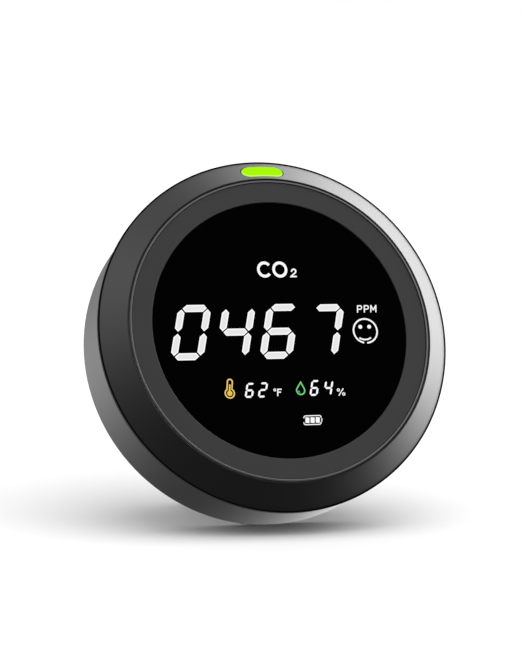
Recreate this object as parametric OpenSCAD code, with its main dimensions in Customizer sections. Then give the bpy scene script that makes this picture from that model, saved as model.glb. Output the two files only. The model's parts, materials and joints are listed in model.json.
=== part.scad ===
// Round desk air quality monitor: a chamfered bezel around a black display,
// a cylindrical rear housing, a backlit key and a fold-out easel leg.
// Each sub-part is drawn in the face frame, where x runs right, y up the face
// and z out of the face. placed() then leans it back and stands it on z = 0.

/* [Case] */
// Largest radius of the bezel
bezel_r = 39.2; // [39:0.1:39.6]
// Angle of the bezel's chamfer from the face plane, in degrees
chamfer_angle = 43; // [42:1:44]
// Radius where the chamfer's line meets the face plane
chamfer_r = 33.6; // [33.5:0.1:33.7]
// Radius of the rear housing
housing_r = 38.3; // [38.2:0.1:38.4]
// Depth from the face plane to the back
depth = 22.75; // [22.5:0.25:23.5]
// Angle that the face leans back, in degrees
lean = 22; // [21:0.5:23]

/* [Display] */
// Radius of the display window
lens_r = 28.4; // [28.2:0.1:28.4]
// How far the window's face lies behind the face plane
lens_drop = 0.65; // [0.5:0.05:0.7]
// Thickness of the window
lens_t = 1.55; // [1.5:0.05:1.6]
// Distance between the vertical strokes of a large digit
digit_w = 5.8; // [5.5:0.05:6]
// Height of the middle line above the foot of a large digit
digit_h = 5.3; // [5:0.05:5.5]
// Stroke of a large digit
digit_t = 1.55; // [1.4:0.05:1.7]
// Distance from one large digit to the next
digit_pitch = 9.9; // [9.6:0.1:10]
// Slant of the digits, in degrees
digit_slant = 14.2; // [12:0.2:15]
// Slant of the letters and icons, in degrees
icon_slant = 5.7; // [0:0.1:8]

/* [Key] */
// Length of the backlit key
key_len = 9.3; // [9:0.1:9.5]
// Width of the backlit key
key_w = 3.8; // [3.6:0.1:3.9]
// Height of the key above the chamfer
key_proud = 0.3; // [0.2:0.05:0.4]
// Travel of the key
key_travel = 0.4; // [0.3:0.05:0.4]
// Gap around the key
key_gap = 0.12; // [0.1:0.01:0.15]

/* [Stand] */
// Height of the leg's hinge above the case's axis
hinge_y = 28; // [27.5:0.5:28]
// Depth of the hinge behind the face plane
hinge_d = 20.6; // [20.5:0.05:20.6]
// Angle that the leg opens from the back, in degrees
leg_open = 26; // [25.5:0.5:26.5]
// Width of the leg
leg_w = 22; // [20:1:22]
// Thickness of the leg
leg_t = 2; // [1.8:0.1:2]
// Radius of the hinge pin
pin_r = 0.8; // [0.7:0.05:0.8]

/* [Hidden] */
$fn = 96;

shell_grey = [0.22, 0.22, 0.23];
ring_grey = [0.26, 0.26, 0.27];
deep_black = [0.02, 0.02, 0.02];
lit_white = [0.95, 0.95, 0.95];
lit_lime = [0.66, 0.98, 0.02];
board_green = [0.05, 0.3, 0.15];
metal_grey = [0.7, 0.7, 0.72];

// Levels along the face's axis, as depths behind the face plane
seat_d = 1.7;                       // ledge that carries the two face rings
ledge_d = 3.3;                      // back of that ledge
bezel_d = 6;                        // back edge of the bezel
skirt_d = 9.4;                      // end of the bezel's inner skirt
housing_d = 6.4;                    // front edge of the rear housing
reflector_d = lens_drop + lens_t;   // front of the display's reflector
display_d = 5.2;                    // back of the reflector
frame_d = 6.2;                      // front of the mid frame
frame_back_d = 8;                   // back of the mid frame
board_d = 10.2;                     // front of the main board
board_back_d = 11.8;                // back of the main board
cover_d = depth - 2;                // inner face of the back cover

// Radii about the face's axis
ring_in_r = lens_r + 0.1;
seat_r = chamfer_r - 0.05;
ledge_r = 30.4;
skirt_in_r = 35.3;
skirt_out_r = 36.5;
wall_in_r = 36.6;
cover_r = 36.45;
panel_r = 29.4;
post_r = 32.6;                      // circle of the bezel's screw posts
standoff_r = 28;                    // circle of the board's standoffs
boss_r = 32.8;                      // circle of the back cover's screws
post_angles = [30, 150, 210, 330];
boss_angles = [45, 135, 225, 315];

// Rounded edges of the case
edge_f = 0.8;
bead_f = 0.25;
nx = sin(chamfer_angle);            // the chamfer's normal, outwards
nz = cos(chamfer_angle);            // and out of the face
bead_r = seat_r + bead_f;
bead_z = (-bead_f - (bead_r - chamfer_r) * nx) / nz;
land_r = bezel_r - 0.34;             // flat land round the bezel's outer edge
land_z = -(land_r - chamfer_r) * tan(chamfer_angle);
rim_r = housing_r - edge_f;
rim_d = depth - edge_f;

// Placing: the housing's lower rear rim is trimmed flat where it meets z = 0
rim_trim = 0.3;
axis_h = rim_r * cos(lean) + rim_d * sin(lean) + edge_f - rim_trim;
leg_lean = leg_open - lean;
hinge_world_y = hinge_d * cos(lean) + hinge_y * sin(lean);
hinge_world_z = axis_h + hinge_y * cos(lean) - hinge_d * sin(lean);
leg_len = hinge_world_z / cos(leg_lean);
front_y = -bead_r * sin(lean) - bead_z * cos(lean) - bead_f;
rim_back_y = rim_r * sin(lean) + rim_d * cos(lean) + edge_f;
foot_back_y = hinge_world_y + leg_len * sin(leg_lean) + leg_t / cos(leg_lean);
mid_y = (front_y + max(rim_back_y, foot_back_y)) / 2;

// Key frame: its origin is on the chamfer's middle line at the top of the face
key_r = (chamfer_r + bezel_r) / 2 - 0.22;
key_z = -(key_r - chamfer_r) * tan(chamfer_angle);
key_arc_r = key_r / cos(chamfer_angle);
plunger_w = -5.4;                   // tip of the switch's plunger below the chamfer

function arc(cx, cy, r, from, to, steps) =
  [for (i = [0:steps]) let (a = from + (to - from) * i / steps) [cx + r * cos(a), cy + r * sin(a)]];
function slant(p, angle) = [p[0] + p[1] * tan(angle), p[1]];

module placed() {
  translate([0, -mid_y, axis_h]) rotate([90 - lean, 0, 0]) children();
}

module below_floor() {
  translate([-60, -60, -30]) cube([120, 120, 30]);
}

// A solid of revolution about the face's axis, from [radius, z] points
module turned(points) {
  rotate_extrude($fn = 180) polygon(points);
}

// A disc or ring between two depths behind the face plane
module ring(outer, inner, from_d, to_d) {
  translate([0, 0, -to_d]) difference() {
    cylinder(r = outer, h = to_d - from_d, $fn = 180);
    if (inner > 0) translate([0, 0, -1]) cylinder(r = inner, h = to_d - from_d + 2, $fn = 180);
  }
}

// A rod along the face's axis at a polar position
module rod(circle_r, angle, r, from_d, to_d) {
  rotate([0, 0, angle]) translate([circle_r, 0, -to_d]) cylinder(r = r, h = to_d - from_d, $fn = 36);
}

// A block centred on [x, y] between two depths
module block(x, y, size_x, size_y, from_d, to_d) {
  translate([x - size_x / 2, y - size_y / 2, -to_d]) cube([size_x, size_y, to_d - from_d]);
}

module key_frame() {
  translate([0, key_r, key_z]) rotate([-chamfer_angle, 0, 0]) children();
}

// The key's outline: a bar with round ends that follows the chamfer's curve
module key_outline(grow, extra) {
  half = key_w / 2;
  w = half + grow;
  end_angle = asin((key_len / 2 - half + extra) / key_arc_r);
  end_x = key_arc_r * sin(end_angle);
  end_y = key_arc_r * (cos(end_angle) - 1);
  polygon(concat(
    arc(0, -key_arc_r, key_arc_r + w, 90 + end_angle, 90 - end_angle, 12),
    arc(end_x, end_y, w, 80 - end_angle, -80 - end_angle, 16),
    arc(0, -key_arc_r, key_arc_r - w, 90 - end_angle, 90 + end_angle, 12),
    arc(-end_x, end_y, w, 260 + end_angle, 100 + end_angle, 16)));
}

module key_prism(grow, extra, from_w, to_w) {
  key_frame() translate([0, 0, from_w]) linear_extrude(to_w - from_w) key_outline(grow, extra);
}

// Everything below the chamfer's cone when that is raised by lift
module under_chamfer(lift) {
  apex_z = (lift + chamfer_r * nx) / nz;
  rotate_extrude($fn = 180) polygon([[0, -30], [50, -30], [50, apex_z - 50 * nx / nz], [0, apex_z]]);
}

// ---- Front ----

module front_bezel() {
  wall = 1.8;
  inner_z = -(wall + (skirt_in_r - chamfer_r) * nx) / nz;
  ledge_end_r = chamfer_r + (ledge_d * nz - wall) / nx;
  color(shell_grey) placed() difference() {
    union() {
      turned(concat(
        [[ledge_r, -ledge_d], [ledge_r, -seat_d], [seat_r, -seat_d]],
        arc(bead_r, bead_z, bead_f, 180, 90 - chamfer_angle, 6),
        [[land_r, land_z], [bezel_r - 0.08, land_z], [bezel_r, land_z - 0.08]],
        [[bezel_r, 0.2 - bezel_d], [bezel_r - 0.2, -bezel_d], [skirt_out_r, -bezel_d],
         [skirt_out_r, -skirt_d], [skirt_in_r, -skirt_d], [skirt_in_r, inner_z],
         [ledge_end_r, -ledge_d]]));
      for (a = post_angles) rod(post_r, a, 1.8, ledge_d - 0.4, frame_d);
    }
    for (a = post_angles) rod(post_r, a, 0.7, 4, frame_d + 1);
    key_prism(key_gap, 0, -2.5, 3);
    key_prism(0.2, 1.6, -9, -1.75);
  }
}

module trim_ring() {
  inner = seat_r - 0.47;
  outer = seat_r - 0.06;
  color(ring_grey) placed() turned([[inner, -seat_d], [inner, -0.3], [inner + 0.1, -0.14],
    [inner + 0.16, -0.1], [outer - 0.14, -0.1], [outer, -0.26], [outer, -seat_d]]);
}

module face_ring() {
  outer = seat_r - 0.56;
  color(ring_grey) placed() turned([[ring_in_r, -seat_d], [ring_in_r, -0.45], [ring_in_r + 0.08, -0.37],
    [outer - 0.1, -0.37], [outer, -0.47], [outer, -seat_d]]);
}

module display_lens() {
  color(deep_black) placed() difference() {
    ring(lens_r, 0, lens_drop, reflector_d);
    windows() {
      digit_shapes();
      legend_shapes();
      thermometer_shape();
      droplet_shape();
    }
  }
}

// ---- Lit parts of the display ----

// Cuts through the window
module windows() {
  translate([0, 0, -reflector_d - 1]) linear_extrude(lens_t + 2) children();
}

// Inserts that fill the window's cuts
module inserts() {
  translate([0, 0, -reflector_d]) linear_extrude(lens_t) children();
}

// One stroke of a digit with pointed ends, level or upright before its slant
module stroke(x, y, length, t, upright, angle) {
  h = t / 2;
  ends = [[0, 0], [h, h], [length - h, h], [length, 0], [length - h, -h], [h, -h]];
  polygon([for (p = ends) slant(upright ? [x - p[1], y + p[0]] : [x + p[0], y + p[1]], angle)]);
}

// A seven-stroke digit: on lists the lit strokes, a to g
module digit(on, w, h, t, gap) {
  long_w = w - 2 * gap;
  long_h = h - 2 * gap;
  if (search("a", on)) stroke(gap, h, long_w, t, false, digit_slant);
  if (search("g", on)) stroke(gap, 0, long_w, t, false, digit_slant);
  if (search("d", on)) stroke(gap, -h, long_w, t, false, digit_slant);
  if (search("f", on)) stroke(0, gap, long_h, t, true, digit_slant);
  if (search("b", on)) stroke(w, gap, long_h, t, true, digit_slant);
  if (search("e", on)) stroke(0, gap - h, long_h, t, true, digit_slant);
  if (search("c", on)) stroke(w, gap - h, long_h, t, true, digit_slant);
}

zero = "abcdef";
two = "abdeg";
four = "bcfg";
six = "acdefg";
seven = "abc";

module digit_shapes() {
  large = [zero, four, six, seven];
  nudge = [[0, 0.08], [0, 0], [0, 0], [0.28, -0.22]];
  for (i = [0:3]) translate([-22.95 + i * digit_pitch, -0.42] + nudge[i])
    digit(large[i], digit_w, digit_h, digit_t, 0.22);
  translate([-8.95, -13.3]) small_digit(six, 1.42);
  translate([-6, -13.28]) small_digit(two, 1.45);
  translate([5.6, -13.12]) small_digit(six, 1.52);
  translate([8.7, -13.2]) small_digit(four, 1.52);
}

module small_digit(on, h) {
  digit(on, 1.42, h, 0.42, 0.06);
}

// A straight bar between two points of an icon
module bar(from, to, t) {
  a = slant(from, icon_slant);
  b = slant(to, icon_slant);
  span = b - a;
  side = [-span[1], span[0]] * t / 2 / norm(span);
  polygon([a + side, b + side, b - side, a - side]);
}

// A round line: part of a ring between two angles
module bow(r, t, from, to) {
  polygon(concat(arc(0, 0, r + t / 2, from, to, 24), arc(0, 0, r - t / 2, to, from, 24)));
}

// A polygon leant over by the icons' slant
module leant(points) {
  polygon([for (p = points) slant(p, icon_slant)]);
}

module letter_p(w, h, t) {
  foot = h * 0.45 - t / 2;
  mid = (foot + h) / 2;
  r = (h - foot) / 2;
  difference() {
    leant(concat([[0, 0], [t, 0], [t, foot]], arc(w - r, mid, r, -90, 90, 16), [[0, h]]));
    leant(concat([[t, foot + t]], arc(w - r, mid, r - t, -90, 90, 16), [[t, h - t]]));
  }
}

module letter_m(w, h, t) {
  bar([t / 2, 0], [t / 2, h], t);
  bar([w - t / 2, 0], [w - t / 2, h], t);
  bar([t / 2, h - t / 4], [w / 2, h * 0.3], t);
  bar([w - t / 2, h - t / 4], [w / 2, h * 0.3], t);
}

// The tall narrow round letters and the lowered figure
module co2_mark() {
  r = 1.5;
  t = 0.64;
  narrow = 0.93;
  translate([-2.25, 13.42]) scale([narrow, 1]) bow(r, t, 40, 320);
  translate([1.2, 13.38]) scale([narrow, 1]) difference() {
    circle(r = r + t / 2);
    circle(r = r - t / 2);
  }
  figure_t = 0.34;
  bowl_r = 0.47;
  bowl_y = 1.33;
  translate([4.16, 11.6]) leant(concat(
    arc(0, bowl_y, bowl_r + figure_t / 2, 190, -40, 20),
    [[-0.22, figure_t], [0.7, figure_t], [0.7, 0], [-0.78, 0], [-0.78, 0.25]],
    arc(0, bowl_y, bowl_r - figure_t / 2, -40, 190, 20)));
}

module legend_shapes() {
  co2_mark();
  letter_h = 1.66;
  letter_t = 0.26;
  translate([17.75, 3.45]) {
    for (x = [0, 1.55]) translate([x, 0]) letter_p(1.2, letter_h, letter_t);
    translate([3.05, 0]) letter_m(1.42, letter_h, letter_t);
  }
  translate([19.2, -0.68]) face_icon();
  translate([-3.15, -14.7]) {
    translate([0.5, 1.35]) difference() {
      circle(r = 0.32);
      circle(r = 0.13);
    }
    translate([0.9, 0]) {
      bar([0.13, 0], [0.13, 1.6], 0.26);
      bar([0.26, 1.47], [1, 1.47], 0.26);
      bar([0.26, 0.85], [0.85, 0.85], 0.26);
    }
  }
  translate([12.2, -14.15]) {
    for (side = [-1, 1]) translate([side * 0.56, -side * 0.46]) difference() {
      circle(r = 0.36);
      circle(r = 0.15);
    }
    bar([-0.52, -0.8], [0.52, 0.8], 0.22);
  }
  translate([5.1, -20.17]) battery_icon();
}

module face_icon() {
  bow(2.7, 0.36, -87, 258);
  for (x = [-1.05, 0.98]) translate([x, 0.93]) circle(r = 0.44);
  translate([-0.2, 0.36]) bow(2.3, 0.34, 235, 305);
}

function rounded(half_x, half_y, r) = concat(
  arc(half_x - r, half_y - r, r, 0, 90, 8), arc(r - half_x, half_y - r, r, 90, 180, 8),
  arc(r - half_x, r - half_y, r, 180, 270, 8), arc(half_x - r, r - half_y, r, 270, 360, 8));

// Three full cells in an outline that is open on the left and has a tip on the right
module battery_icon() {
  t = 0.21;
  half_x = 2.05;
  half_y = 1.07;
  gap_y = 0.44;
  for (i = [-1:1]) bar([i * 1.16 + 0.02, -0.6], [i * 1.16 + 0.02, 0.6], 0.9);
  difference() {
    leant(rounded(half_x, half_y, 0.54));
    leant(rounded(half_x - t, half_y - t, 0.54 - t));
    leant([[-3, -gap_y], [3, -gap_y], [3, gap_y], [-3, gap_y]]);
  }
  bar([half_x + 0.04, 0.08 - gap_y], [half_x + 0.04, gap_y - 0.08], t);
}

module thermometer_shape() {
  stem_h = 2.52;
  translate([-12.72, -13.85]) {
    difference() {
      thermometer_outline(1.15, 0.69, stem_h);
      thermometer_outline(0.86, 0.4, stem_h);
    }
    thermometer_outline(0.56, 0.17, 1.8);
  }
}

// A bulb at the origin with a round-ended stem that leans with the icons
module thermometer_outline(bulb_r, stem_r, stem_h) {
  neck = asin(stem_r / bulb_r);
  polygon(concat(arc(0, 0, bulb_r, 90 + neck, 450 - neck, 40),
    arc(stem_h * tan(icon_slant), stem_h, stem_r, 0, 180, 16)));
}

module droplet_shape() {
  translate([3.13, -13.58]) {
    difference() {
      droplet_outline(1.04, 2.08);
      droplet_outline(0.76, 1.52);
    }
    rotate(210) bow(0.47, 0.18, -28, 34);
  }
}

module droplet_outline(r, tip) {
  flank = asin(r / tip);
  polygon(concat(arc(0, 0, r, 180 - flank, 360 + flank, 32), [[tip * tan(icon_slant), tip]]));
}

module digit_segments() {
  color(lit_white) placed() inserts() digit_shapes();
}

module legend_inserts() {
  color(lit_white) placed() inserts() legend_shapes();
}

module thermometer_insert() {
  color([0.95, 0.7, 0.2]) placed() inserts() thermometer_shape();
}

module droplet_insert() {
  color([0.3, 0.85, 0.45]) placed() inserts() droplet_shape();
}

// ---- Display and boards ----

module display_reflector() {
  color(deep_black) placed() difference() {
    ring(panel_r, 0, reflector_d, display_d);
    for (i = [0:3]) block(-19.6 + i * digit_pitch, -0.4, 6, 10, reflector_d + 1, display_d + 1);
    block(-8, -13.2, 13, 4, reflector_d + 1, display_d + 1);
    block(8, -13.2, 13, 4, reflector_d + 1, display_d + 1);
  }
}

module display_board() {
  color(board_green) placed() ring(panel_r, 0, display_d, frame_d);
}

module display_flex() {
  color([0.75, 0.5, 0.2]) placed() block(0, -18, 12, 0.2, frame_d, board_d);
}

module mid_frame() {
  color([0.1, 0.1, 0.11]) placed() difference() {
    union() {
      difference() {
        ring(34.8, 24, frame_d, frame_back_d);
        block(0, 32, 12.4, 10, frame_d - 1, frame_back_d + 1);
      }
      for (a = boss_angles) rod(standoff_r, a, 2, frame_back_d - 0.5, board_d);
      key_frame() translate([-7.5, -1.6, -8.6]) cube([15, 3.2, 1]);
    }
    for (a = post_angles) rod(post_r, a, 1.1, frame_d - 1, frame_back_d + 1);
    for (a = boss_angles) rod(standoff_r, a, 0.75, frame_d + 0.6, board_d + 1);
  }
}

// A screw whose head's seat is at seat and whose tip is at tip, as depths
module screw(circle_r, angle, head_r, head_h, shank_r, seat, tip) {
  rod(circle_r, angle, head_r, seat, seat + head_h);
  rod(circle_r, angle, shank_r, tip, seat + 0.1);
}

module frame_screws() {
  color(metal_grey) placed() for (a = post_angles) screw(post_r, a, 1.7, 1, 0.68, frame_back_d, 4.2);
}

module main_board() {
  color(board_green) placed() difference() {
    ring(34, 0, board_d, board_back_d);
    for (a = boss_angles) rod(standoff_r, a, 0.9, board_d - 1, board_back_d + 1);
  }
}

module board_screws() {
  color(metal_grey) placed() for (a = boss_angles)
    screw(standoff_r, a, 1.7, 1, 0.72, board_back_d, frame_d + 1.2);
}

module board_chips() {
  color([0.08, 0.08, 0.09]) placed() {
    block(0, 4, 7, 7, board_d - 0.9, board_d);
    block(-11, -6, 5, 4, board_d - 0.8, board_d);
    block(10, -7, 4, 4, board_d - 0.8, board_d);
  }
}

module co2_sensor() {
  color([0.75, 0.65, 0.35]) placed() difference() {
    block(-23, 0, 17, 18, board_back_d, 18.3);
    translate([-26, 0, -18.8]) cylinder(r = 3.2, h = 0.8, $fn = 48);
  }
}

module co2_filter() {
  color([0.92, 0.92, 0.9]) placed() translate([-26, 0, -18.4]) cylinder(r = 3.1, h = 0.4, $fn = 48);
}

module climate_sensor() {
  color([0.12, 0.12, 0.12]) placed() block(12, 29.5, 3, 3, board_back_d, board_back_d + 1);
}

module battery_pad() {
  color([0.3, 0.3, 0.3]) placed() block(6, 0, 34, 24, board_back_d, board_back_d + 0.4);
}

module battery_cell() {
  color([0.55, 0.57, 0.6]) placed() block(6, 0, 36, 26, board_back_d + 0.4, 17.8);
}

module buzzer() {
  color([0.06, 0.06, 0.06]) placed() difference() {
    translate([0, -22, -15]) cylinder(r = 4.5, h = 15 - board_back_d, $fn = 48);
    translate([0, -22, -15.5]) cylinder(r = 0.9, h = 2, $fn = 24);
  }
}

// A flat-sided round bar along x, for the connector's shell and its opening
module flat_bar(from_x, to_x, width, height, mid_d) {
  r = height / 2;
  translate([from_x, 0, -mid_d]) {
    translate([0, r - width / 2, -r]) cube([to_x - from_x, width - height, height]);
    for (side = [-1, 1]) translate([0, side * (width / 2 - r), 0])
      rotate([0, 90, 0]) cylinder(r = r, h = to_x - from_x, $fn = 36);
  }
}

usb_d = board_back_d + 1.6;

module usb_socket() {
  color(metal_grey) placed() difference() {
    flat_bar(29.6, 37.4, 8.94, 3.2, usb_d);
    flat_bar(31, 39, 8.34, 2.56, usb_d);
  }
}

module usb_tongue() {
  color([0.05, 0.05, 0.05]) placed() translate([31, -3.3, -usb_d - 0.35]) cube([5.6, 6.6, 0.7]);
}

// ---- Key and its switch ----

module light_key() {
  color(lit_lime) placed() union() {
    intersection() {
      key_prism(0, 0, -2, 3);
      under_chamfer(key_proud);
    }
    key_prism(-0.15, 1.2, -2.6, -1.8);
    key_frame() translate([0, 0, -4.4]) cylinder(r = 1, h = 2, $fn = 36);
  }
}

module switch_plunger() {
  color(deep_black) placed() key_frame() translate([0, 0, plunger_w]) cylinder(r = 0.9, h = 1, $fn = 36);
}

module key_switch() {
  color(metal_grey) placed() key_frame() difference() {
    translate([-2.5, -1.6, -6.9]) cube([5, 3.2, 2]);
    translate([0, 0, plunger_w - key_travel - 0.5]) cylinder(r = 1.05, h = 2, $fn = 36);
  }
}

module key_leds() {
  color(lit_lime) placed() key_frame() for (side = [-1, 1])
    translate([side * 3.6 - 0.8, -0.8, -6.9]) cube([1.6, 1.6, 0.7]);
}

module key_board() {
  color(board_green) placed() key_frame() translate([-5, -2.1, -7.6]) cube([10, 4.2, 0.7]);
}

// ---- Rear ----

module seal_ring() {
  color(deep_black) placed() ring(37.7, skirt_out_r + 0.05, bezel_d, housing_d);
}

// The housing's wall with its rounded rear rim
module housing_wall() {
  turned(concat(
    [[wall_in_r, -housing_d], [housing_r - 0.3, -housing_d], [housing_r, -housing_d - 0.3]],
    arc(rim_r, -rim_d, edge_f, 0, -90, 6),
    [[wall_in_r, -depth]]));
}

// The space of the rubber foot in the housing's lower rim
module foot_space() {
  block(0, -38.2, 13, 2.2, 21.6, 24);
}

module rear_housing() {
  boss_from = 13.5;
  color(shell_grey) difference() {
    placed() difference() {
      union() {
        housing_wall();
        for (a = boss_angles) {
          rod(boss_r, a, 2.6, boss_from, cover_d);
          rotate([0, 0, a]) translate([boss_r + 1.5, -1, -cover_d]) cube([3, 2, cover_d - boss_from]);
        }
      }
      for (a = boss_angles) rod(boss_r, a, 1, boss_from + 1, cover_d + 1);
      for (a = [55:7:125]) rotate([0, 0, a]) translate([34, -0.8, -18.5]) cube([8, 1.6, 7.5]);
      flat_bar(34, 42, 9.5, 3.8, usb_d);
      foot_space();
    }
    below_floor();
  }
}

module rim_foot() {
  color(deep_black) difference() {
    placed() intersection() {
      housing_wall();
      foot_space();
    }
    below_floor();
  }
}

recess_w = leg_w + 0.8;
recess_floor_d = hinge_d - 0.4;
pocket_floor_d = hinge_d - 2.3;
heel = 3;
stop_d = hinge_d - heel * sin(leg_open) - 0.015;

module back_cover() {
  skin = 1.2;
  ear_w = recess_w + 4.4;
  top_y = hinge_y + heel + 1.2;
  color(shell_grey) placed() difference() {
    union() {
      ring(cover_r, 0, cover_d, depth);
      intersection() {
        translate([-recess_w / 2 - skin, -40, -cover_d - 0.5])
          cube([recess_w + 2 * skin, hinge_y + 37, cover_d - recess_floor_d + skin + 0.5]);
        ring(cover_r, 0, recess_floor_d - skin - 1, cover_d + 1);
      }
      translate([-ear_w / 2, hinge_y - 4, -cover_d - 0.5])
        cube([ear_w, heel + 5.9, cover_d - pocket_floor_d + skin + 0.5]);
    }
    translate([-recess_w / 2, -40, -depth - 1]) cube([recess_w, top_y - 1.2 + 40 - heel, depth + 1 - recess_floor_d]);
    translate([-recess_w / 2, hinge_y - 2.6, -depth - 1]) cube([recess_w, 4.9, depth + 1 - pocket_floor_d]);
    translate([-recess_w / 2, hinge_y, -depth - 1]) cube([recess_w, top_y - hinge_y, depth + 1 - stop_d]);
    translate([-ear_w / 2 + 0.1, hinge_y, -hinge_d]) rotate([0, 90, 0]) cylinder(r = pin_r, h = ear_w - 0.2, $fn = 36);
    for (side = [-1, 1]) {
      translate([side * 12.5, -23, -depth - 1]) cylinder(r = 6, h = 2.5, $fn = 60);
      for (i = [-2:2]) vent_slot(side, i * 5);
    }
    for (a = boss_angles) {
      rod(boss_r, a, 1.25, cover_d - 1, depth + 1);
      rod(boss_r, a, 2.3, depth - 1.3, depth + 1);
    }
  }
}

module vent_slot(side, y) {
  translate([side * 22.5, y, -depth - 1]) {
    translate([-6, -0.8, 0]) cube([12, 1.6, 4]);
    for (x = [-6, 6]) translate([x, 0, 0]) cylinder(r = 0.8, h = 4, $fn = 24);
  }
}

module vent_mesh() {
  color([0.12, 0.12, 0.12]) placed() for (side = [-1, 1]) block(side * 22.5, 0, 15, 24, cover_d - 0.3, cover_d);
}

module cover_screws() {
  color(metal_grey) placed() for (a = boss_angles)
    screw(boss_r, a, 2.1, 1.1, 0.98, depth - 1.3, 15.5);
}

// ---- Stand ----

// The leg's frame: x along the hinge, y up the leg, z towards the case
module leg_frame() {
  placed() translate([0, hinge_y, -hinge_d]) rotate([leg_open, 0, 0]) children();
}

pad_h = 1.4;
sole_half = leg_w / 2 - 2;

module stand_leg() {
  half = leg_w / 2;
  end_y = -leg_len + pad_h;
  color(shell_grey) leg_frame() difference() {
    union() {
      translate([0, 0, -leg_t]) linear_extrude(leg_t)
        polygon([[-half, heel], [half, heel], [half, end_y + 2], [sole_half, end_y],
          [-sole_half, end_y], [-half, end_y + 2]]);
      translate([-half, 0, 0]) rotate([0, 90, 0]) cylinder(r = 2, h = leg_w, $fn = 60);
    }
    translate([-half - 1, 0, 0]) rotate([0, 90, 0]) cylinder(r = pin_r + 0.06, h = leg_w + 2, $fn = 36);
  }
}

module stand_foot() {
  color(deep_black) difference() {
    leg_frame() translate([-sole_half, -leg_len - 1, -leg_t]) cube([2 * sole_half, pad_h + 1, leg_t]);
    below_floor();
  }
}

module hinge_pin() {
  length = recess_w + 4.2;
  color(metal_grey) placed() translate([-length / 2, hinge_y, -hinge_d])
    rotate([0, 90, 0]) cylinder(r = pin_r, h = length, $fn = 36);
}

front_bezel();
trim_ring();
face_ring();
display_lens();
digit_segments();
legend_inserts();
thermometer_insert();
droplet_insert();
display_reflector();
display_board();
display_flex();
mid_frame();
frame_screws();
main_board();
board_screws();
board_chips();
co2_sensor();
co2_filter();
climate_sensor();
battery_cell();
battery_pad();
buzzer();
usb_socket();
usb_tongue();
light_key();
switch_plunger();
key_switch();
key_leds();
key_board();
seal_ring();
rear_housing();
rim_foot();
back_cover();
cover_screws();
vent_mesh();
stand_leg();
stand_foot();
hinge_pin();
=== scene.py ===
"""Looks of the round air quality monitor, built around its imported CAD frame."""
import json
import math

import bmesh
import bpy
from mathutils import Matrix, Vector


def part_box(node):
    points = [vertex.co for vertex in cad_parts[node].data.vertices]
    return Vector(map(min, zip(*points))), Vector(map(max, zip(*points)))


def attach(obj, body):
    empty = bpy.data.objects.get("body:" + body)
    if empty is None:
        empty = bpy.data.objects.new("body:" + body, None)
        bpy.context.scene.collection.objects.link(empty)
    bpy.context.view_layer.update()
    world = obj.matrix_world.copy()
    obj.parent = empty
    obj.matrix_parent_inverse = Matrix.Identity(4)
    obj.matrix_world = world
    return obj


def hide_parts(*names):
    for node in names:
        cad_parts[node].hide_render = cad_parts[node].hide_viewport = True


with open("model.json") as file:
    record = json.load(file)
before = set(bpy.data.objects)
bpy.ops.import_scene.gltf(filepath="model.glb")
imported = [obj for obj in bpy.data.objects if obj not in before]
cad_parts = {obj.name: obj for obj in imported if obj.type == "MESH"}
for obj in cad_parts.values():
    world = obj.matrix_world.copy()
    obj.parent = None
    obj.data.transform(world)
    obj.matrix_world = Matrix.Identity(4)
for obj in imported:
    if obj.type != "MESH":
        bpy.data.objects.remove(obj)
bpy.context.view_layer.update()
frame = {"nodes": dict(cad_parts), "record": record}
MM = 0.001

# ---- The face frame: x to the right, y up the face, z out of it, in millimetres ----
LEAN = math.radians(22)              # how far the face leans back
CHAMFER = math.radians(43)           # angle of the bezel's chamfer from the face plane
LENS_MID_DEPTH = 1.425               # depth of the window's middle behind the face plane

face_x = Vector((1, 0, 0))
face_up = Vector((0, math.sin(LEAN), math.cos(LEAN)))
face_out = Vector((0, -math.cos(LEAN), math.sin(LEAN)))
lens_low, lens_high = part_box("display_lens")
face_centre = (lens_low + lens_high) / 2 + face_out * LENS_MID_DEPTH * MM
FACE_AXES = Matrix((face_x, face_up, face_out)).transposed()
TO_ROW = Matrix.Translation(face_centre) @ FACE_AXES.to_4x4() @ Matrix.Scale(MM, 4)


# ---- Camera: almost level, from the left of the face, as in the photograph ----
FACE_IN_CAMERA = Vector((0.285, 0.267, 0.9206))   # the face's normal seen by the camera
CAMERA_ROLL = math.radians(1.0)
EDGE_CENTRE = Vector((2.945, -1.790, -647.66))    # centre of the bezel's edge, mm from the camera
EDGE_DEPTH = 5.04                    # depth of that centre behind the face plane
LENS_MM = 165.4
SENSOR_MM = 36.0
CLIP_START, CLIP_END = 0.05, 20      # metres


def add_camera():
    """Adds the camera; gives back the rotation from the camera's axes to the frame's."""
    out = FACE_IN_CAMERA.normalized()
    level = Vector((out.z, 0, -out.x)).normalized()
    up = out.cross(level)
    right = level * math.cos(CAMERA_ROLL) + up * math.sin(CAMERA_ROLL)
    up = out.cross(right)
    in_camera = Matrix((right, up, out)).transposed()
    turn = FACE_AXES @ in_camera.transposed()
    edge = face_centre - face_out * EDGE_DEPTH * MM
    data = bpy.data.cameras.new("camera")
    data.lens = LENS_MM
    data.sensor_width = SENSOR_MM
    data.sensor_fit = "AUTO"
    data.clip_start = CLIP_START
    data.clip_end = CLIP_END
    camera = bpy.data.objects.new("camera", data)
    camera.matrix_world = Matrix.Translation(edge - turn @ (EDGE_CENTRE * MM)) @ turn.to_4x4()
    bpy.context.scene.collection.objects.link(camera)
    bpy.context.scene.camera = camera
    return turn


camera_turn = add_camera()


# ---- Surroundings: a white room, with the light panels seen only in reflections ----
AMBIENT = 0.80                       # even light from all round, for matt surfaces
DARK_ROOM = 0.076                    # what polished surfaces mirror between the panels
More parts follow.
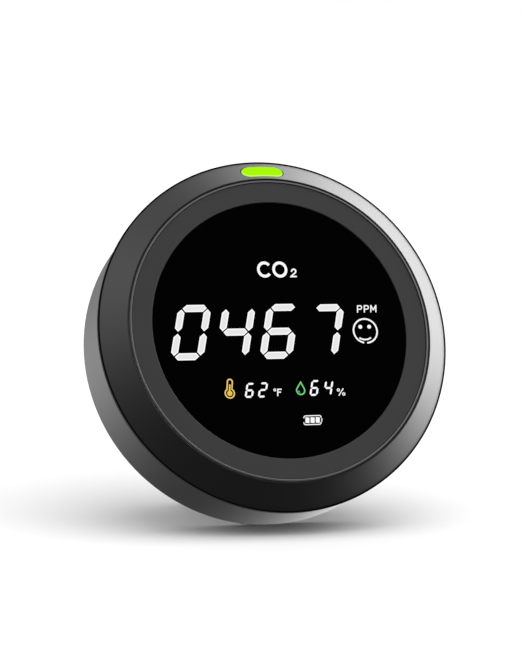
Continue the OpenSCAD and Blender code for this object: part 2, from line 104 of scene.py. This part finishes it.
# Each panel: where it stands as seen from the camera, how narrow and how bright it is
PANELS = (
    (Vector((0.666, -0.170, -0.726)), 10.5, 12.3),    # tall one behind on the right
    (Vector((0.433, 0.619, -0.655)), 7.75, 5.8),      # overhead one behind on the right
    (Vector((-0.577, -0.116, -0.808)), 21.0, 1.73),   # white wall behind on the left
    (Vector((-0.747, 0.602, 0.282)), 4.7, 1.93),      # broad weak one high on the left
    (Vector((0.830, 0.550, 0.050)), 40.0, 9.0),       # small one beside the case on the right
)
SUN_TOWARD = Vector((0.30, 0.86, 0.41))               # the key light, high on the camera's right
SUN_STRENGTH = 1.6
SUN_SPREAD = math.radians(75)
FLOOR_HALF = 6.0                     # metres
FLOOR_DROP = 0.0001                  # keeps the floor clear of the soles, metres
FLOOR_GREY = 0.9


def node(tree, kind, **values):
    """A new node with its settings filled in."""
    made = tree.nodes.new(kind)
    for key, value in values.items():
        setattr(made, key, value)
    return made


def math_node(tree, operation, first, second=None):
    """A Math node fed by sockets or plain numbers; gives back its output."""
    made = node(tree, "ShaderNodeMath", operation=operation)
    for socket, value in zip(made.inputs, (first, second)):
        if isinstance(value, (int, float)):
            socket.default_value = value
        elif value is not None:
            tree.links.new(value, socket)
    return made.outputs[0]


def add_world():
    """A white backdrop for the camera, even light for matt surfaces, panels for mirrored rays."""
    world = bpy.data.worlds.new("studio")
    world.use_nodes = True
    world.cycles.sampling_method = "NONE"
    tree = world.node_tree
    tree.nodes.clear()
    link = tree.links.new
    place = node(tree, "ShaderNodeTexCoord")
    total = DARK_ROOM
    for toward, narrow, bright in PANELS:
        facing = node(tree, "ShaderNodeVectorMath", operation="DOT_PRODUCT")
        facing.inputs[1].default_value = (camera_turn @ toward).normalized()
        link(place.outputs["Generated"], facing.inputs[0])
        off_centre = math_node(tree, "SUBTRACT", facing.outputs["Value"], 1.0)
        fall = math_node(tree, "MULTIPLY", off_centre, narrow)
        glow = math_node(tree, "MULTIPLY", math_node(tree, "EXPONENT", fall), bright)
        total = math_node(tree, "ADD", glow, total)
    path = node(tree, "ShaderNodeLightPath")
    mirrored = node(tree, "ShaderNodeMix", data_type="FLOAT")
    link(path.outputs["Is Glossy Ray"], mirrored.inputs["Factor"])
    mirrored.inputs["A"].default_value = AMBIENT
    link(total, mirrored.inputs["B"])
    seen = node(tree, "ShaderNodeMix", data_type="FLOAT")
    link(path.outputs["Is Camera Ray"], seen.inputs["Factor"])
    link(mirrored.outputs["Result"], seen.inputs["A"])
    seen.inputs["B"].default_value = 1.0
    shine = node(tree, "ShaderNodeBackground")
    shine.inputs["Color"].default_value = (1, 1, 1, 1)
    link(seen.outputs["Result"], shine.inputs["Strength"])
    out = node(tree, "ShaderNodeOutputWorld")
    link(shine.outputs[0], out.inputs[0])
    bpy.context.scene.world = world


def add_key_light():
    data = bpy.data.lights.new("key_light", "SUN")
    data.energy = SUN_STRENGTH
    data.angle = SUN_SPREAD
    lamp = bpy.data.objects.new("key_light", data)
    lamp.rotation_euler = (camera_turn @ SUN_TOWARD).to_track_quat("Z", "Y").to_euler()
    lamp.visible_glossy = False
    bpy.context.scene.collection.objects.link(lamp)


def add_floor():
    mesh = bpy.data.meshes.new("floor")
    corners = [(x * FLOOR_HALF, y * FLOOR_HALF, 0) for x, y in ((-1, -1), (1, -1), (1, 1), (-1, 1))]
    mesh.from_pydata(corners, [], [(0, 1, 2, 3)])
    floor = bpy.data.objects.new("floor", mesh)
    floor.location.z = -FLOOR_DROP
    bpy.context.scene.collection.objects.link(floor)
    floor.visible_glossy = False
    floor.visible_diffuse = False
    mat = bpy.data.materials.new("floor")
    mat.use_nodes = True
    shader = mat.node_tree.nodes["Principled BSDF"]
    shader.inputs["Base Color"].default_value = (FLOOR_GREY, FLOOR_GREY, FLOOR_GREY, 1)
    shader.inputs["Roughness"].default_value = 0.9
    shader.inputs["Specular IOR Level"].default_value = 0.0
    mesh.materials.append(mat)


add_world()
add_key_light()
add_floor()
bpy.context.scene.view_settings.view_transform = "Standard"


# ---- Materials ----
MOTTLE = 0.08                        # how far the colour strays from its mean
MOTTLE_SCALE = 140
GLOSS_SPREAD = 0.04                  # how far the roughness strays from its mean
GRAIN_STRENGTH = 0.4
LIT_BASE = 0.03                      # how much of its own colour a lit diffuser shows when unlit


def surface(name, colour, rough, grain=0.01, grain_size=0.2, specular=0.5,
            metallic=0.0, rounded=0.0, stretch=(1, 1, 1)):
    """A moulded or machined finish: grain in bump and gloss, a faint mottle in colour.

    grain is the height of the grain and grain_size its size, both in mm; rounded is the radius
    in mm that the light sees on the corners of a shape that was modelled sharp.
    """
    mat = bpy.data.materials.new(name)
    mat.use_nodes = True
    tree = mat.node_tree
    link = tree.links.new
    shader = tree.nodes["Principled BSDF"]
    shader.inputs["Specular IOR Level"].default_value = specular
    shader.inputs["Metallic"].default_value = metallic
    place = node(tree, "ShaderNodeTexCoord")
    spread = node(tree, "ShaderNodeMapping")
    spread.inputs["Scale"].default_value = stretch
    link(place.outputs["Object"], spread.inputs["Vector"])
    patches = node(tree, "ShaderNodeTexNoise")
    patches.inputs["Scale"].default_value = MOTTLE_SCALE
    patches.inputs["Detail"].default_value = 3
    fine = node(tree, "ShaderNodeTexNoise")
    fine.inputs["Scale"].default_value = 1 / (grain_size * MM)
    fine.inputs["Detail"].default_value = 4
    for noise in (patches, fine):
        link(spread.outputs["Vector"], noise.inputs["Vector"])
    tint = node(tree, "ShaderNodeMapRange")
    tint.inputs["To Min"].default_value = 1 - MOTTLE
    tint.inputs["To Max"].default_value = 1 + MOTTLE
    link(patches.outputs["Fac"], tint.inputs["Value"])
    base = node(tree, "ShaderNodeVectorMath", operation="SCALE", name="base")
    base.inputs[0].default_value = colour
    link(tint.outputs["Result"], base.inputs["Scale"])
    link(base.outputs["Vector"], shader.inputs["Base Color"])
    gloss = node(tree, "ShaderNodeMapRange")
    gloss.inputs["To Min"].default_value = rough - GLOSS_SPREAD
    gloss.inputs["To Max"].default_value = rough + GLOSS_SPREAD
    link(fine.outputs["Fac"], gloss.inputs["Value"])
    link(gloss.outputs["Result"], shader.inputs["Roughness"])
    bump = node(tree, "ShaderNodeBump", name="bump")
    bump.inputs["Strength"].default_value = GRAIN_STRENGTH
    bump.inputs["Distance"].default_value = grain * MM
    link(fine.outputs["Fac"], bump.inputs["Height"])
    if rounded:
        corner = node(tree, "ShaderNodeBevel", samples=6)
        corner.inputs["Radius"].default_value = rounded * MM
        link(corner.outputs["Normal"], bump.inputs["Normal"])
    link(bump.outputs["Normal"], shader.inputs["Normal"])
    return mat


def lit(name, colour, strength=1.0):
    """A translucent diffuser with light behind it."""
    mat = surface(name, [c * LIT_BASE for c in colour], 0.5, grain=0.002, specular=0.0)
    shader = mat.node_tree.nodes["Principled BSDF"]
    shader.inputs["Emission Color"].default_value = (*colour, 1)
    shader.inputs["Emission Strength"].default_value = strength
    return mat


def patterned(mat, texture, scale, dark, low, high, height=0.0, **settings):
    """Darkens a finish where a texture is low, and raises it by height mm where it is high."""
    tree = mat.node_tree
    link = tree.links.new
    shader = tree.nodes["Principled BSDF"]
    place = node(tree, "ShaderNodeTexCoord")
    pattern = node(tree, texture, **settings)
    pattern.inputs["Scale"].default_value = scale
    link(place.outputs["Object"], pattern.inputs["Vector"])
    step = node(tree, "ShaderNodeMapRange")
    step.inputs["From Min"].default_value = low
    step.inputs["From Max"].default_value = high
    out = pattern.outputs.get("Fac") or pattern.outputs["Distance"]
    link(out, step.inputs["Value"])
    mix = node(tree, "ShaderNodeMix", data_type="RGBA")
    link(step.outputs["Result"], mix.inputs["Factor"])
    mix.inputs["A"].default_value = (*dark, 1)
    link(tree.nodes["base"].outputs["Vector"], mix.inputs["B"])
    link(mix.outputs["Result"], shader.inputs["Base Color"])
    if height:
        raised = node(tree, "ShaderNodeBump")
        raised.inputs["Distance"].default_value = height * MM
        link(step.outputs["Result"], raised.inputs["Height"])
        link(tree.nodes["bump"].outputs["Normal"], raised.inputs["Normal"])
        link(raised.outputs["Normal"], shader.inputs["Normal"])
    return mat


looks = {
    "shell": surface("shell", (0.0060, 0.0060, 0.0062), 0.36, grain=0.004, grain_size=0.16),
    "case": surface("case", (0.0075, 0.0075, 0.0078), 0.36, grain=0.006, grain_size=0.16, rounded=0.2),
    "edge": surface("edge", (0.050, 0.050, 0.051), 0.6, grain=0.006, specular=0.0),
    # painted shade: a near-black finish for the walls of the gaps between parts, the key's lower side wall
    # and the bezel's outer land and corner, drawn black for the shade and dark outline there
    "gap_shade": surface("gap_shade", (0.002, 0.002, 0.002), 0.8, specular=0.0),
    "ring": surface("ring", (0.024, 0.024, 0.0245), 0.5, grain=0.005, grain_size=0.14),
    "trim": surface("trim", (0.080, 0.080, 0.082), 0.35, grain=0.003),
    # painted highlight: a lighter copy of the trim finish, for the trim's inner round
    "trim_highlight": surface("trim_highlight", (0.16, 0.16, 0.163), 0.35, grain=0.003),
    "window": surface("window", (0.0004, 0.0004, 0.0004), 0.08, grain=0.0, specular=0.04),
    "digit_rim": lit("digit_rim", (1.0, 1.0, 1.0), 0.98),
    "digit_core": lit("digit_core", (0.79, 0.79, 0.80), 0.97),
    "white": lit("white", (0.97, 0.97, 0.97), 0.98),
    "amber_rim": lit("amber_rim", (0.86, 0.60, 0.18), 1.0),
    "amber": lit("amber", (0.80, 0.50, 0.05), 1.0),
    "green_rim": lit("green_rim", (0.16, 0.66, 0.21), 1.0),
    "green": lit("green", (0.02, 0.45, 0.10), 0.8),
    "lime": lit("lime", (0.40, 0.95, 0.002), 0.96),
    # painted highlight: a brighter, whiter glow for the key's rounded top edge
    "lime_edge_highlight": lit("lime_edge_highlight", (0.55, 1.0, 0.12), 1.0),
    "rubber": surface("rubber", (0.012, 0.012, 0.012), 0.75, grain=0.02, grain_size=0.3, specular=0.3,
                      rounded=0.15),
    "black_plastic": surface("black_plastic", (0.010, 0.010, 0.011), 0.45, grain=0.01, rounded=0.15),
    "cell_foil": surface("cell_foil", (0.45, 0.46, 0.48), 0.35, grain=0.05, grain_size=1.5, metallic=0.8),
    "foam": surface("foam", (0.03, 0.03, 0.03), 0.95, grain=0.2, grain_size=0.5, specular=0.1),
    "filter": surface("filter", (0.75, 0.74, 0.70), 0.9, grain=0.08, grain_size=0.12, specular=0.1),
    "gold": surface("gold", (0.72, 0.52, 0.22), 0.3, grain=0.004, metallic=1.0, rounded=0.1),
    "steel": surface("steel", (0.52, 0.52, 0.54), 0.3, grain=0.004, metallic=1.0, rounded=0.1,
                     stretch=(0.1, 1, 1)),
    "dark_steel": surface("dark_steel", (0.09, 0.09, 0.095), 0.38, grain=0.006, metallic=1.0, rounded=0.08),
    "flex": surface("flex", (0.42, 0.20, 0.05), 0.35, grain=0.005),
    "led": lit("led", (0.9, 1.0, 0.6), 0.6),
}
looks["board"] = patterned(surface("board", (0.012, 0.11, 0.05), 0.35, grain=0.01, specular=0.4),
                           "ShaderNodeTexVoronoi", 420, (0.008, 0.075, 0.035), 0.02, 0.05, height=0.02,
                           feature="DISTANCE_TO_EDGE")
looks["chip"] = patterned(surface("chip", (0.014, 0.014, 0.015), 0.55, grain=0.01, rounded=0.1),
                          "ShaderNodeTexWave", 900, (0.2, 0.2, 0.2), 0.02, 0.05)
looks["cloth"] = patterned(surface("cloth", (0.02, 0.02, 0.021), 0.85, grain=0.02, specular=0.2),
                           "ShaderNodeTexVoronoi", 2200, (0.002, 0.002, 0.002), 0.1, 0.5, height=0.1)


# ---- Shapes in mesh code ----
SAME_POINT = MM / 1000               # corners closer than this are joined
FLAT_ANGLE = math.radians(0.5)       # faces that meet at less than this are one face


def polar(centre_x, centre_y, radius, start, end, steps):
    """Points on an arc, angles in degrees."""
    turn = [math.radians(start + (end - start) * i / steps) for i in range(steps + 1)]
    return [(centre_x + radius * math.cos(a), centre_y + radius * math.sin(a)) for a in turn]


def shade(bm, limit=32):
    """Smooth shading, broken where two faces meet at more than limit degrees."""
    for face in bm.faces:
        face.smooth = True
    for edge in bm.edges:
        edge.smooth = edge.calc_face_angle(math.pi) < math.radians(limit)


def make(name, bm, finishes, body=None, nodes=()):
    """A named object from bm; with a body it is a finished piece that rides on it."""
    mesh = bpy.data.meshes.new(name)
    bmesh.ops.recalc_face_normals(bm, faces=bm.faces)
    shade(bm)
    bm.to_mesh(mesh)
    bm.free()
    piece = bpy.data.objects.new(name, mesh)
    for finish in finishes:
        mesh.materials.append(looks[finish])
    bpy.context.scene.collection.objects.link(piece)
    if body:
        settle(piece, body, nodes)
    return piece


def settle(piece, body, nodes=()):
    """Says which body the piece moves with and the CAD nodes it replaces."""
    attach(piece, body)
    if nodes:
        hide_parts(*nodes)


def carve(piece, cutters):
    """Cuts the cutters out of the piece for good."""
    for cutter in cutters:
        cut = piece.modifiers.new("cut", "BOOLEAN")
        cut.operation = "DIFFERENCE"
        cut.solver = "EXACT"
        cut.object = cutter
    graph = bpy.context.evaluated_depsgraph_get()
    carved = bpy.data.meshes.new_from_object(piece.evaluated_get(graph), depsgraph=graph)
    piece.modifiers.clear()
    old = piece.data
    piece.data = carved
    bpy.data.meshes.remove(old)
    for cutter in cutters:
        bpy.data.objects.remove(cutter)
    bm = bmesh.new()
    bm.from_mesh(carved)
    bmesh.ops.remove_doubles(bm, verts=bm.verts, dist=SAME_POINT)
    shade(bm)
    bm.to_mesh(carved)
    bm.free()


def clean_copy(source):
    """The CAD node's mesh, with doubled corners joined and flat stretches made one face."""
    bm = bmesh.new()
    bm.from_mesh(frame["nodes"][source].data)
    bmesh.ops.remove_doubles(bm, verts=bm.verts, dist=SAME_POINT)
    bmesh.ops.dissolve_limit(bm, angle_limit=FLAT_ANGLE, verts=bm.verts, edges=bm.edges)
    return bm


def turned(bm, profile, frame_matrix=TO_ROW, steps=360, finishes=None):
    """Adds a solid of revolution about z from a closed (radius, height) profile; finishes gives
    the material number of each side of the profile."""
    rings = []
    for i in range(steps):
        a = 2 * math.pi * i / steps
        rings.append([bm.verts.new(frame_matrix @ Vector((r * math.cos(a), r * math.sin(a), z)))
                      for r, z in profile])
    count = len(profile)
    for i in range(steps):
        here, there = rings[i], rings[(i + 1) % steps]
        for j in range(count):
            k = (j + 1) % count
            face = bm.faces.new((here[j], here[k], there[k], there[j]))
            if finishes:
                face.material_index = finishes[j]


def layered(bm, levels, frame_matrix):
    """Adds a closed solid through loops of equal length, capped at both ends. Each level is a
    list of (x, y, z) points. Gives back the faces between each two levels."""
    loops = [[bm.verts.new(frame_matrix @ Vector(p)) for p in level] for level in levels]
    count = len(loops[0])
    sides = []
    for low, high in zip(loops, loops[1:]):
        sides.append([bm.faces.new((low[j], low[(j + 1) % count], high[(j + 1) % count], high[j]))
                      for j in range(count)])
    bm.faces.new(loops[0][::-1])
    bm.faces.new(loops[-1])
    return sides


def prism(bm, outline, low, high, frame_matrix):
    """Adds a solid with straight sides between two heights."""
    layered(bm, [[(x, y, z) for x, y in outline] for z in (low, high)], frame_matrix)


def rounded_box(low_x, high_x, low_y, high_y, corner, inset=0.0, steps=8):
    """The outline of a rectangle with round corners, drawn in by inset."""
    r = max(corner - inset, 0.01)
    x0, x1, y0, y1 = low_x + inset + r, high_x - inset - r, low_y + inset + r, high_y - inset - r
    return (polar(x1, y1, r, 0, 90, steps) + polar(x0, y1, r, 90, 180, steps)
            + polar(x0, y0, r, 180, 270, steps) + polar(x1, y0, r, 270, 360, steps))


def slab(bm, outline, low, high, edge, frame_matrix, steps=4):
    """A plate between two heights with its edges rounded; outline(inset) gives its loop."""
    quarter = [math.pi / 2 * i / steps for i in range(steps + 1)]
    rise = [(edge * (1 - math.sin(a)), low + edge * (1 - math.cos(a))) for a in quarter]
    fall = [(edge * (1 - math.cos(a)), high - edge * (1 - math.sin(a))) for a in quarter]
    levels = [[(x, y, z) for x, y in outline(inset)] for inset, z in rise + fall]
    layered(bm, levels, frame_matrix)


# ---- The case's shape, as the CAD has it, in mm ----
bezel_low, bezel_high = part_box("front_bezel")
BEZEL_R = (bezel_high.x - bezel_low.x) / 2 / MM
CHAMFER_R = 33.6                     # where the chamfer's line meets the face plane
SEAT_R = CHAMFER_R - 0.05            # wall of the seat that holds the trim and the face ring
SEAT_Z = -1.7                        # floor of that seat
BEAD = 0.25                          # radius of the chamfer's inner edge
LAND = 0.34                          # width of the flat land round the bezel's outer edge
CORNER = 0.08                        # radius of the land's outer corner
CHAMFER_DEG = math.degrees(CHAMFER)
nx, nz = math.sin(CHAMFER), math.cos(CHAMFER)


def under_chamfer(radius, depth):
    """Height of a point that lies depth below the chamfer, at a radius."""
    return -(depth + (radius - CHAMFER_R) * nx) / nz


def make_bezel():
    """The chamfered front ring, with a skirt that enters the housing and the key's slot."""
    shell, edge, gap_shade = 0, 1, 2
    bead = polar(SEAT_R + BEAD, under_chamfer(SEAT_R + BEAD, BEAD), BEAD, 180, 90 - CHAMFER_DEG, 8)
    land_r = BEZEL_R - LAND
    land_z = under_chamfer(land_r, 0)
    bead_to_flat = 0.03
    flat = [(r, under_chamfer(r, 0)) for r in (bead[-1][0] + bead_to_flat, land_r)]
    back, skirt_back, skirt_out, skirt_in, wall = -6.0, -9.4, 36.5, 35.3, 1.8
    ledge_r, ledge_z, back_bevel = 30.4, -3.3, 0.2
    front = [(ledge_r, SEAT_Z), (SEAT_R, SEAT_Z)] + bead + flat
    rim = polar(BEZEL_R - CORNER, land_z - CORNER, CORNER, 90, 0, 3)
    rear = [(BEZEL_R, back + back_bevel), (BEZEL_R - back_bevel, back), (skirt_out, back),
            (skirt_out, skirt_back), (skirt_in, skirt_back), (skirt_in, under_chamfer(skirt_in, wall)),
            (CHAMFER_R + (-ledge_z * nz - wall) / nx, ledge_z), (ledge_r, ledge_z)]
    # The land and its corner round the outer edge are black: painted shade that draws the dark outline
    # round the bezel. The outer wall takes the lighter matte edge finish; the back and the skirt inside the
    # housing are black.
    finishes = ([shell] * (len(front) - 1) + [gap_shade] * len(rim) + [edge]
                + [gap_shade] * (len(rear) - 1) + [shell])
    bm = bmesh.new()
    turned(bm, front + rim + rear, finishes=finishes, steps=480)
    bezel = make("bezel", bm, ("shell", "edge", "gap_shade"))
    slot = bmesh.new()
    prism(slot, key_outline(KEY_GAP), -2.5, 3, KEY_TO_ROW)
    carve(bezel, [make("key_slot", slot, ("gap_shade",))])
    settle(bezel, "case", ["front_bezel"])


def make_grey_ring():
    """The flat grey ring round the window; its outer wall and underside are black, painted shade for the
    gap beside it.
    """
    inner, outer, top = 28.5, 32.98, -0.37
    inner_round, outer_round, run_out = 0.1, 0.08, 0.05
    profile = ([(inner, SEAT_Z)] + polar(inner + inner_round, top - inner_round, inner_round, 180, 90, 5)
               + [(inner + inner_round + run_out, top), (outer - outer_round - run_out, top)]
               + polar(outer - outer_round, top - outer_round, outer_round, 90, 0, 5) + [(outer, SEAT_Z)])
    ring, gap_shade = 0, 1
    bm = bmesh.new()
    turned(bm, profile, finishes=[ring] * (len(profile) - 2) + [gap_shade] * 2)
    make("grey_ring", bm, ("ring", "gap_shade"), "case", ["face_ring"])


def make_trim():
    """The thin trim between the grey ring and the chamfer, with a lower step on its outside."""
    inner, step_r, outer, top, step = 33.06, 33.32, 33.49, -0.10, -0.32
    inner_round, outer_round = 0.12, 0.07
    round_inner = polar(inner + inner_round, top - inner_round, inner_round, 180, 90, 5)
    round_outer = polar(step_r - outer_round, top - outer_round, outer_round, 90, 0, 4)
    outside = [(step_r, step), (outer, step), (outer, SEAT_Z)]
    # Painted light on the trim: the inner wall, the outer wall below the step and the underside are black,
    # painted shade for the gaps; the inner round takes a lighter copy of the trim finish, a painted
    # highlight.
    trim, gap_shade, highlight_round = 0, 1, 2
    finishes = ([gap_shade] + [highlight_round] * (len(round_inner) - 1) + [trim] * (len(round_outer) + len(outside) - 1)
                + [gap_shade] * 2)
    bm = bmesh.new()
    turned(bm, [(inner, SEAT_Z)] + round_inner + round_outer + outside, finishes=finishes)
    make("thin_trim", bm, ("trim", "gap_shade", "trim_highlight"), "case", ["trim_ring"])


# ---- The key: a soft bar that follows the chamfer ----
KEY_LEN, KEY_W, KEY_GAP, KEY_PROUD = 9.3, 3.8, 0.23, 0.3
KEY_EDGE = 0.42                      # radius of the key's top edge
KEY_CROWN = 0.05                     # how far its middle rises above that edge
KEY_R = (CHAMFER_R + BEZEL_R) / 2 - 0.22
KEY_ARC_R = KEY_R / nz               # radius of its middle line on the unrolled cone
KEY_TO_ROW = (TO_ROW @ Matrix.Translation((0, KEY_R, under_chamfer(KEY_R, 0)))
              @ Matrix.Rotation(-CHAMFER, 4, "X"))


def key_outline(grow):
    """The key's outline seen square to the chamfer, grown on all sides."""
    half = KEY_W / 2
    w = half + grow
    end = math.asin((KEY_LEN / 2 - half) / KEY_ARC_R)
    end_x, end_y = KEY_ARC_R * math.sin(end), KEY_ARC_R * (math.cos(end) - 1)
    turn = math.degrees(end)
    return (polar(0, -KEY_ARC_R, KEY_ARC_R + w, 90 + turn, 90 - turn, 24)
            + polar(end_x, end_y, w, 80 - turn, -80 - turn, 24)
            + polar(0, -KEY_ARC_R, KEY_ARC_R - w, 90 - turn, 90 + turn, 24)
            + polar(-end_x, end_y, w, 260 + turn, 100 + turn, 24))


def cone_lift(x, y, lift):
    """Height in the key's frame where the chamfer's cone, raised by lift, passes over (x, y)."""
    w = lift
    for _ in range(4):
        radius = math.hypot(x, KEY_R + y * nz + w * nx)
        height = under_chamfer(KEY_R, 0) - y * nx + w * nz
        w -= (radius - CHAMFER_R) * nx + height * nz - lift
    return w


def key_level(grow, lift):
    """The outline laid on the chamfer's cone, raised by lift."""
    return [(x, y, cone_lift(x, y, lift)) for x, y in key_outline(grow)]


def make_key():
    """The lit key, with the flange and the shaft below it."""
    bottom, flange_bottom, shaft_bottom, top_of_both = -1.9, -2.6, -4.4, -1.8
    rim, gap_shade = 1, 2
    levels = [[(x, y, bottom) for x, y in key_outline(0)]]
    for i in range(9):
        a = math.pi / 2 * i / 8
        levels.append(key_level(-KEY_EDGE * (1 - math.cos(a)), KEY_PROUD - KEY_EDGE * (1 - math.sin(a))))
    half = KEY_W / 2 - KEY_EDGE
    for t in (0.25, 0.5, 0.75, 0.95):
        levels.append(key_level(-KEY_EDGE - half * t, KEY_PROUD - KEY_CROWN * (1 - t) ** 2))
    bm = bmesh.new()
    sides = layered(bm, levels, KEY_TO_ROW)
    # Painted light on the key: the rounded top edge glows brighter, a painted highlight, and the side wall
    # below the chamfer's surface is black, painted shadow.
    for face in sides[2] + sides[3] + sides[4]:
        face.material_index = rim
    for face in sides[0]:
        face.material_index = gap_shade
    circle = [(math.cos(math.radians(a)), math.sin(math.radians(a))) for a in range(0, 360, 15)]
    prism(bm, circle, shaft_bottom, top_of_both, KEY_TO_ROW)
    prism(bm, key_outline(-0.15), flange_bottom, top_of_both, KEY_TO_ROW)
    make("lime_key", bm, ("lime", "lime_edge_highlight", "gap_shade"), "key", ["light_key"])


# ---- Lit marks: the inserts with a brighter rim round each face ----
NO_CORE = 1000                       # mm2: more than any face has, so no face is inset


def make_marks(name, source, rim, core, margin, smallest):
    """A copy of a display insert whose larger faces get a core finish inside a rim of margin mm."""
    bm = clean_copy(source)
    wide = [f for f in bm.faces if f.normal.dot(face_out) > 0.99 and f.calc_area() > smallest * MM * MM]
    bmesh.ops.inset_individual(bm, faces=wide, thickness=margin * MM, use_even_offset=True)
    for face in wide:
        face.material_index = 1
    make(name, bm, (rim, core), "case", [source])


# ---- Screws with a cross recess ----
AXIS_R = 0.01                        # a turned solid's profile stops this far from its axis
RECESS_SPIN = 20                     # how far the crosses stand turned, degrees


def make_screws(name, source, circle_r, angles, seat, tip, head_r, head_h, shank_r, finish):
    """Equal screws on a circle, driven from behind; seat and tip are depths behind the face."""
    bm = bmesh.new()
    cutters = []
    for a in angles:
        turn = math.radians(a)
        at = TO_ROW @ Matrix.Translation((circle_r * math.cos(turn), circle_r * math.sin(turn), 0))
        at = at @ Matrix.Rotation(math.pi, 4, "X")
        top = seat + head_h
        crown = polar(AXIS_R, top - 1.8 * head_h, 1.8 * head_h, 90, 62, 5)
        crown = [(r * head_r / crown[-1][0] * 0.86, z) for r, z in crown]
        shank = [(AXIS_R, tip), (shank_r, tip + 0.2), (shank_r, seat)]
        head = [(head_r, seat), (head_r, top - 0.45 * head_h)] + crown[::-1]
        turned(bm, shank + head, at, steps=40)
        for spin in (0, 90):
            cutter = bmesh.new()
            bar_frame = at @ Matrix.Rotation(math.radians(spin + RECESS_SPIN), 4, "Z")
            half, width = head_r * 0.62, head_r * 0.13
            bar = ((-half, -width), (half, -width), (half, width), (-half, width))
            levels = [[(x * t, y * t, z) for x, y in bar]
                      for t, z in ((0.6, top - 0.75 * head_h), (1.0, top + 0.5))]
            layered(cutter, levels, bar_frame)
            cutters.append(make("recess", cutter, (finish,)))
    screws = make(name, bm, (finish,))
    carve(screws, cutters)
    settle(screws, "case", [source])


# ---- The stand's leg and its rubber foot ----
HINGE_Y, HINGE_D = 28.0, 20.6        # the pin's height above the middle and depth behind the face
LEG_OPEN = math.radians(26)
LEG_W, LEG_T = 22.0, 2.0
HEEL = 3.0                           # how far the leg reaches above its pin
PAD_H = 1.4                          # height of the rubber foot
BARREL_R, PIN_R, BARREL_ROUND = 2.0, 0.86, 0.25
LEG_TO_ROW = TO_ROW @ Matrix.Translation((0, HINGE_Y, -HINGE_D)) @ Matrix.Rotation(LEG_OPEN, 4, "X")
LEG_LEN = -(LEG_TO_ROW.inverted() @ Vector((0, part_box("stand_foot")[0].y, 0))).y


def make_leg():
    """The flat leg with the barrel that turns on the pin."""
    half = LEG_W / 2
    end = PAD_H - LEG_LEN
    bm = bmesh.new()
    slab(bm, lambda inset: rounded_box(-half, half, end, HEEL, 1.6, inset), -LEG_T, 0, 0.35, LEG_TO_ROW)
    across = LEG_TO_ROW @ Matrix.Rotation(math.pi / 2, 4, "Y")
    round_r, round_z = BARREL_R - BARREL_ROUND, half - BARREL_ROUND
    barrel = ([(PIN_R, -half), (PIN_R, half)] + polar(round_r, round_z, BARREL_ROUND, 90, 0, 4)
              + polar(round_r, -round_z, BARREL_ROUND, 0, -90, 4))
    turned(bm, barrel, across, steps=96)
    make("leg", bm, ("case",), "stand", ["stand_leg"])


def softened(name, source, finish, body, width, steps=3):
    """A copy of a simple CAD solid with its sharp edges rounded."""
    bm = clean_copy(source)
    sharp = [e for e in bm.edges if e.calc_face_angle(0) > math.radians(35)]
    bmesh.ops.bevel(bm, geom=sharp, offset=width * MM, offset_type="OFFSET", segments=steps, profile=0.5,
                    affect="EDGES", clamp_overlap=True)
    make(name, bm, (finish,), body, [source])


# ---- The charging inlet's contacts ----
CONTACTS, CONTACT_PITCH = 12, 0.5    # on each side of the tongue
CONTACT_HALF_W, CONTACT_HALF_T = 0.12, 0.03
TONGUE_HALF_T = 0.35


def make_contacts():
    """Gold strips on both sides of the inlet's tongue."""
    low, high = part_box("usb_tongue")
    at = Matrix.Translation((low + high) / 2) @ FACE_AXES.to_4x4() @ Matrix.Scale(MM, 4)
    bm = bmesh.new()
    for side in (-1, 1):
        z = side * TONGUE_HALF_T
        for i in range(CONTACTS):
            y = (i - (CONTACTS - 1) / 2) * CONTACT_PITCH
            outline = rounded_box(-1.9, 2.4, y - CONTACT_HALF_W, y + CONTACT_HALF_W, 0.05, 0, 2)
            prism(bm, outline, z - CONTACT_HALF_T, z + CONTACT_HALF_T, at)
    make("inlet_contacts", bm, ("gold",), "case")


# ---- Everything is made here ----
make_bezel()
make_grey_ring()
make_trim()
make_key()
make_marks("large_digits", "digit_segments", "digit_rim", "digit_core", 0.24, 3.0)
make_marks("legends", "legend_inserts", "white", "white", 0.1, NO_CORE)
make_marks("thermometer", "thermometer_insert", "amber_rim", "amber", 0.1, 0.6)
make_marks("droplet", "droplet_insert", "green_rim", "green", 0.08, NO_CORE)
CORNERS = (45, 135, 225, 315)
POSTS = (30, 150, 210, 330)
make_screws("back_screws", "cover_screws", 32.8, CORNERS, 21.45, 15.5, 2.1, 1.1, 0.98, "dark_steel")
make_screws("inner_screws", "board_screws", 28.0, CORNERS, 11.8, 7.4, 1.7, 1.0, 0.72, "steel")
make_screws("post_screws", "frame_screws", 32.6, POSTS, 8.0, 4.2, 1.7, 1.0, 0.68, "steel")
make_leg()
make_contacts()
softened("leg_pad", "stand_foot", "rubber", "stand", 0.25)
softened("pouch_cell", "battery_cell", "cell_foil", "case", 1.3, 5)
softened("sensor_body", "co2_sensor", "gold", "case", 0.4)
softened("buzzer_can", "buzzer", "black_plastic", "case", 0.3)

# ---- Finishes of the CAD parts that stay ----
FINISH_OF_SLOT = {
    "shell_plastic": "case", "trim_plastic": "trim", "ring_plastic": "ring", "window": "window",
    "lit_white": "white", "lit_amber": "amber", "lit_green": "green_rim", "lit_lime": "lime",
    "led_white": "led", "black_plastic": "black_plastic", "circuit_board": "board", "flex_film": "flex",
    "chip": "chip", "sensor_gold": "gold", "filter_white": "filter", "cell_foil": "cell_foil",
    "foam": "foam", "steel": "steel", "dark_steel": "dark_steel", "rubber": "rubber", "mesh_cloth": "cloth",
}
slot_of = {part["node"]: part["material_slot"] for part in frame["record"]["subparts"]}
for name, part in frame["nodes"].items():
    part.data.materials.clear()
    part.data.materials.append(looks[FINISH_OF_SLOT[slot_of[name]]])
